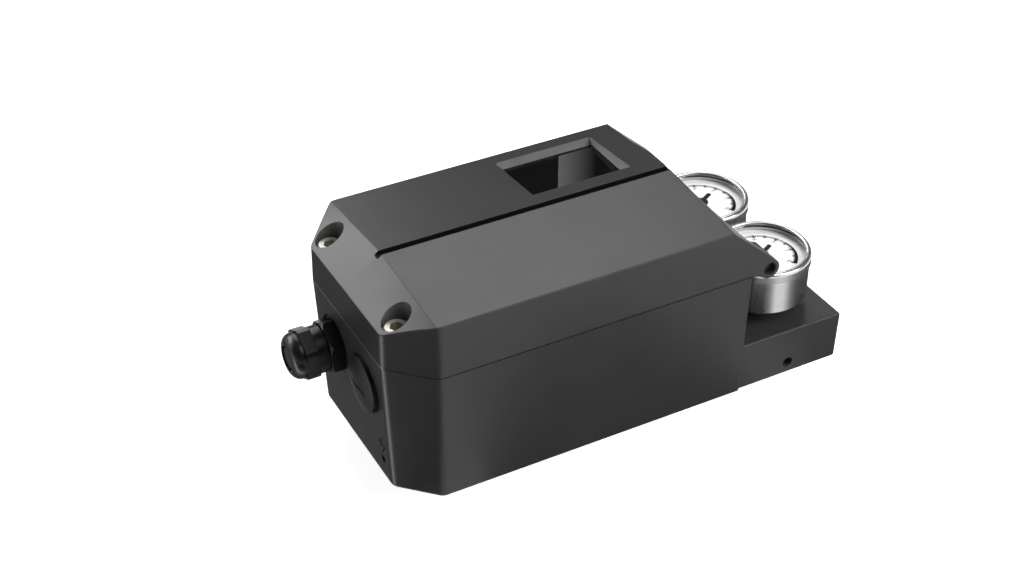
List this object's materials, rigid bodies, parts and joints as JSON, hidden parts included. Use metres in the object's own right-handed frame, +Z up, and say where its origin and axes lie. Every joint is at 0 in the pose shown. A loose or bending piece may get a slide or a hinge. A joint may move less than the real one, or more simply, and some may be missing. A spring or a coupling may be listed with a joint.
{
  "type": "valve positioner",
  "caption": "Electropneumatic valve positioner: gabled housing with hinged windowed lid, cable gland, blanking plug and a side block with two dial gauges.",
  "frame": {"origin": "axis of the feedback shaft in the plane of the housing's underside, at the centre of the four fixing holes", "axes": "+X towards the gauge block, -X towards the cable gland, +Y towards the gland side, +Z up through the lid"},
  "size_m": [0.2172, 0.096, 0.1012],
  "materials": {
    "housing": "satin",
    "black_plastic": "satin",
    "rubber": "matte",
    "clear": "polished",
    "screw": "satin",
    "dark_screw": "satin",
    "case_steel": "polished",
    "brass": "satin",
    "aluminium": "satin",
    "white_plastic": "satin",
    "grey_plastic": "satin",
    "dark_panel": "satin",
    "button": "satin",
    "board": "satin",
    "display": "polished",
    "dial": "satin",
    "needle": "satin"
  },
  "bodies": {
    "base": {"housing_base": "housing", "electronics_tray": "grey_plastic", "lid_cord": "rubber", "hinge_pins": "black_plastic", "gland_body": "black_plastic", "gland_insert": "rubber", "gland_blank": "black_plastic", "gland_ring": "rubber", "plug_ring": "rubber", "gauge_block": "housing", "block_rings": "rubber", "block_screws": "dark_screw", "shaft_bushes": "brass", "angle_sensor": "grey_plastic", "valve_block": "aluminium", "converter_coil": "grey_plastic", "inlet_filter": "brass", "tray_screws": "screw", "circuit_board": "board", "key_switches": "screw", "display": "display", "electronics_cover": "dark_panel", "terminal_block": "grey_plastic", "terminal_screws": "screw", "earth_screw": "screw", "exhaust_filter": "brass", "gauge_front_socket": "brass", "gauge_front_tube": "brass", "gauge_front_case": "case_steel", "gauge_front_bezel": "case_steel", "gauge_front_glass": "clear", "gauge_front_dial": "dial", "gauge_front_movement": "brass", "gauge_rear_socket": "brass", "gauge_rear_tube": "brass", "gauge_rear_case": "case_steel", "gauge_rear_bezel": "case_steel", "gauge_rear_glass": "clear", "gauge_rear_dial": "dial", "gauge_rear_movement": "brass"},
    "lid": {"housing_lid": "housing", "window_pane": "clear", "lid_screw_rings": "rubber"},
    "lid_screw_front": {"lid_screw_front": "screw"},
    "lid_screw_rear": {"lid_screw_rear": "screw"},
    "gland_nut": {"gland_nut": "black_plastic"},
    "blank_plug": {"blank_plug": "black_plastic"},
    "shaft": {"feedback_shaft": "screw", "shaft_gear": "white_plastic"},
    "sensor_gear": {"sensor_gear": "white_plastic"},
    "pointer_front": {"gauge_front_pointer": "needle"},
    "pointer_rear": {"gauge_rear_pointer": "needle"},
    "button_1": {"button_1": "button"},
    "button_2": {"button_2": "button"},
    "button_3": {"button_3": "button"},
    "button_4": {"button_4": "button"}
  },
  "joints": [
    {"name": "lid_hinge", "type": "hinge", "parent": "base", "child": "lid", "pos_m": [0.0833, 0, 0.06], "axis": [0, 1, 0], "range_deg": [0, 115]},
    {"name": "lid_screw_front_lift", "type": "slide", "parent": "lid", "child": "lid_screw_front", "axis": [0, 0, 1], "range_m": [0, 0.009]},
    {"name": "lid_screw_rear_lift", "type": "slide", "parent": "lid", "child": "lid_screw_rear", "axis": [0, 0, 1], "range_m": [0, 0.009]},
    {"name": "gland_nut_turn", "type": "hinge", "parent": "base", "child": "gland_nut", "pos_m": [-0.085, 0.014, 0.0394], "axis": [-1, 0, 0], "continuous": true},
    {"name": "blank_plug_turn", "type": "hinge", "parent": "base", "child": "blank_plug", "pos_m": [-0.075, -0.014, 0.0394], "axis": [-1, 0, 0], "continuous": true},
    {"name": "shaft_turn", "type": "hinge", "parent": "base", "child": "shaft", "pos_m": [0, 0, 0], "axis": [0, 0, 1], "range_deg": [-50, 50]},
    {"name": "sensor_gear_turn", "type": "hinge", "parent": "base", "child": "sensor_gear", "pos_m": [0.027, 0, 0.02], "axis": [0, 0, 1], "range_deg": [-150, 150]},
    {"name": "pointer_front_turn", "type": "hinge", "parent": "base", "child": "pointer_front", "pos_m": [0.0985, -0.0223, 0.0462], "axis": [0, 0, -1], "range_deg": [0, 255]},
    {"name": "pointer_rear_turn", "type": "hinge", "parent": "base", "child": "pointer_rear", "pos_m": [0.0985, 0.0223, 0.0462], "axis": [0, 0, -1], "range_deg": [0, 255]},
    {"name": "button_1_press", "type": "slide", "parent": "base", "child": "button_1", "axis": [0, 0, -1], "range_m": [0, 0.0012], "stiffness_N_per_m": 400},
    {"name": "button_2_press", "type": "slide", "parent": "base", "child": "button_2", "axis": [0, 0, -1], "range_m": [0, 0.0012], "stiffness_N_per_m": 400},
    {"name": "button_3_press", "type": "slide", "parent": "base", "child": "button_3", "axis": [0, 0, -1], "range_m": [0, 0.0012], "stiffness_N_per_m": 400},
    {"name": "button_4_press", "type": "slide", "parent": "base", "child": "button_4", "axis": [0, 0, -1], "range_m": [0, 0.0012], "stiffness_N_per_m": 400}
  ],
  "couplings": [
    {"joint": "sensor_gear_turn", "follows": "shaft_turn", "ratio": -2}
  ]
}
